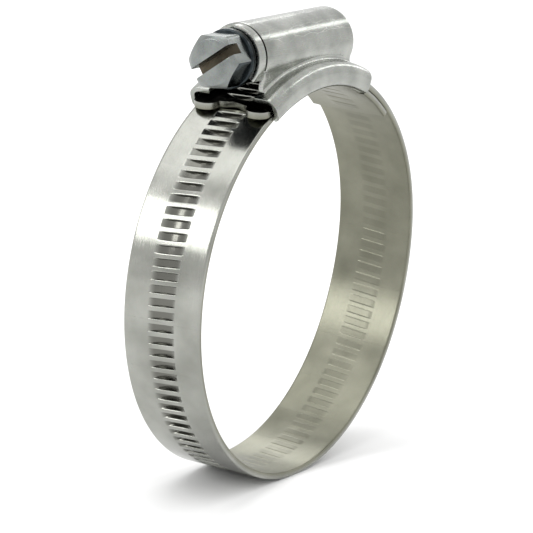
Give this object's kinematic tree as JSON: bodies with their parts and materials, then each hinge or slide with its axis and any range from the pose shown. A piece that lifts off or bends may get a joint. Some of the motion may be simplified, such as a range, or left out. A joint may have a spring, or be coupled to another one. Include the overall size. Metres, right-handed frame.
{
  "type": "hose clamp",
  "caption": "Worm-drive hose clamp: a stainless band with a pressed thread, a pressed housing and a slotted hexagon screw that draws the band's tail through it.",
  "frame": {"origin": "centre of the hose bore, half-way across the band", "axes": "+Y along the bore, +Z from the bore's centre up through the housing, screw along X with its head at -X"},
  "size_m": [0.0573, 0.014, 0.0654],
  "materials": {
    "band_steel": "rolled bright stainless, fine lengthwise grain",
    "pressed_steel": "pressed bright stainless, satin",
    "screw_steel": "turned and milled stainless, darker and oily"
  },
  "bodies": {
    "housing": {"housing_shell": "pressed_steel", "band_fixed_end": "band_steel"},
    "screw": {"worm_screw": "screw_steel"},
    "tail": {"band_tail": "band_steel"},
    "tongue": {"band_tongue": "band_steel"},
    "band_link_01": {"band_link_01": "band_steel"},
    "band_link_02": {"band_link_02": "band_steel"},
    "band_link_03": {"band_link_03": "band_steel"},
    "band_link_04": {"band_link_04": "band_steel"},
    "band_link_05": {"band_link_05": "band_steel"},
    "band_link_06": {"band_link_06": "band_steel"},
    "band_link_07": {"band_link_07": "band_steel"},
    "band_link_08": {"band_link_08": "band_steel"},
    "band_link_09": {"band_link_09": "band_steel"},
    "band_link_10": {"band_link_10": "band_steel"},
    "band_link_11": {"band_link_11": "band_steel"},
    "band_link_12": {"band_link_12": "band_steel"},
    "band_link_13": {"band_link_13": "band_steel"},
    "band_link_14": {"band_link_14": "band_steel"},
    "band_link_15": {"band_link_15": "band_steel"},
    "band_link_16": {"band_link_16": "band_steel"},
    "band_link_17": {"band_link_17": "band_steel"},
    "band_link_18": {"band_link_18": "band_steel"}
  },
  "joints": [
    {"name": "screw_turn", "type": "hinge", "parent": "housing", "child": "screw", "pos_m": [0, 0, 0.03233], "axis": [1, 0, 0], "range_deg": [0, 3600]},
    {"name": "tail_feed", "type": "hinge", "parent": "housing", "child": "tail", "pos_m": [0, 0, 0], "axis": [0, -1, 0], "range_deg": [0, 36]},
    {"name": "tongue_flex", "type": "hinge", "parent": "housing", "child": "tongue", "pos_m": [0.01119, 0, 0.02512], "axis": [0, 1, 0], "range_deg": [0, 4.6]},
    {"name": "band_flex_18", "type": "hinge", "parent": "housing", "child": "band_link_18", "pos_m": [-0.00135, 0, -0.00157], "axis": [0, -1, 0], "range_deg": [0, 33.31]},
    {"name": "band_flex_17", "type": "hinge", "parent": "housing", "child": "band_link_17", "pos_m": [-0.00318, 0, -0.00292], "axis": [0, -1, 0], "range_deg": [0, 31.02]},
    {"name": "band_flex_16", "type": "hinge", "parent": "housing", "child": "band_link_16", "pos_m": [-0.00565, 0, -0.00404], "axis": [0, -1, 0], "range_deg": [0, 28.62]},
    {"name": "band_flex_15", "type": "hinge", "parent": "housing", "child": "band_link_15", "pos_m": [-0.00868, 0, -0.00459], "axis": [0, -1, 0], "range_deg": [0, 26.19]},
    {"name": "band_flex_14", "type": "hinge", "parent": "housing", "child": "band_link_14", "pos_m": [-0.0115, 0, -0.00443], "axis": [0, -1, 0], "range_deg": [0, 24.21]},
    {"name": "band_flex_13", "type": "hinge", "parent": "housing", "child": "band_link_13", "pos_m": [-0.01393, 0, -0.00382], "axis": [0, -1, 0], "range_deg": [0, 22.59]},
    {"name": "band_flex_12", "type": "hinge", "parent": "housing", "child": "band_link_12", "pos_m": [-0.01612, 0, -0.00283], "axis": [0, -1, 0], "range_deg": [0, 21.14]},
    {"name": "band_flex_11", "type": "hinge", "parent": "housing", "child": "band_link_11", "pos_m": [-0.01801, 0, -0.00153], "axis": [0, -1, 0], "range_deg": [0, 19.8]},
    {"name": "band_flex_10", "type": "hinge", "parent": "housing", "child": "band_link_10", "pos_m": [-0.01959, 0, 0.00003], "axis": [0, -1, 0], "range_deg": [0, 18.54]},
    {"name": "band_flex_09", "type": "hinge", "parent": "housing", "child": "band_link_09", "pos_m": [-0.02088, 0, 0.00183], "axis": [0, -1, 0], "range_deg": [0, 17.29]},
    {"name": "band_flex_08", "type": "hinge", "parent": "housing", "child": "band_link_08", "pos_m": [-0.02186, 0, 0.00387], "axis": [0, -1, 0], "range_deg": [0, 16]},
    {"name": "band_flex_07", "type": "hinge", "parent": "housing", "child": "band_link_07", "pos_m": [-0.02251, 0, 0.00616], "axis": [0, -1, 0], "range_deg": [0, 14.61]},
    {"name": "band_flex_06", "type": "hinge", "parent": "housing", "child": "band_link_06", "pos_m": [-0.02277, 0, 0.00868], "axis": [0, -1, 0], "range_deg": [0, 13.09]},
    {"name": "band_flex_05", "type": "hinge", "parent": "housing", "child": "band_link_05", "pos_m": [-0.02257, 0, 0.01141], "axis": [0, -1, 0], "range_deg": [0, 11.39]},
    {"name": "band_flex_04", "type": "hinge", "parent": "housing", "child": "band_link_04", "pos_m": [-0.02184, 0, 0.01426], "axis": [0, -1, 0], "range_deg": [0, 9.5]},
    {"name": "band_flex_03", "type": "hinge", "parent": "housing", "child": "band_link_03", "pos_m": [-0.02053, 0, 0.01711], "axis": [0, -1, 0], "range_deg": [0, 7.42]},
    {"name": "band_flex_02", "type": "hinge", "parent": "housing", "child": "band_link_02", "pos_m": [-0.01865, 0, 0.01981], "axis": [0, -1, 0], "range_deg": [0, 5.16]},
    {"name": "band_flex_01", "type": "hinge", "parent": "housing", "child": "band_link_01", "pos_m": [-0.01621, 0, 0.02221], "axis": [0, -1, 0], "range_deg": [0, 2.77]}
  ],
  "couplings": [
    {"joint": "tail_feed", "follows": "screw_turn", "ratio": 0.0098294},
    {"joint": "tongue_flex", "follows": "screw_turn", "ratio": 0.00125},
    {"joint": "band_flex_18", "follows": "screw_turn", "ratio": 0.0091706},
    {"joint": "band_flex_17", "follows": "screw_turn", "ratio": 0.0085337},
    {"joint": "band_flex_16", "follows": "screw_turn", "ratio": 0.0078657},
    {"joint": "band_flex_15", "follows": "screw_turn", "ratio": 0.0071929},
    {"joint": "band_flex_14", "follows": "screw_turn", "ratio": 0.0066407},
    {"joint": "band_flex_13", "follows": "screw_turn", "ratio": 0.0061919},
    {"joint": "band_flex_12", "follows": "screw_turn", "ratio": 0.0057883},
    {"joint": "band_flex_11", "follows": "screw_turn", "ratio": 0.005418},
    {"joint": "band_flex_10", "follows": "screw_turn", "ratio": 0.0050669},
    {"joint": "band_flex_09", "follows": "screw_turn", "ratio": 0.0047197},
    {"joint": "band_flex_08", "follows": "screw_turn", "ratio": 0.0043608},
    {"joint": "band_flex_07", "follows": "screw_turn", "ratio": 0.0039756},
    {"joint": "band_flex_06", "follows": "screw_turn", "ratio": 0.0035516},
    {"joint": "band_flex_05", "follows": "screw_turn", "ratio": 0.0030797},
    {"joint": "band_flex_04", "follows": "screw_turn", "ratio": 0.0025548},
    {"joint": "band_flex_03", "follows": "screw_turn", "ratio": 0.0019767},
    {"joint": "band_flex_02", "follows": "screw_turn", "ratio": 0.0013503},
    {"joint": "band_flex_01", "follows": "screw_turn", "ratio": 0.00068602}
  ]
}
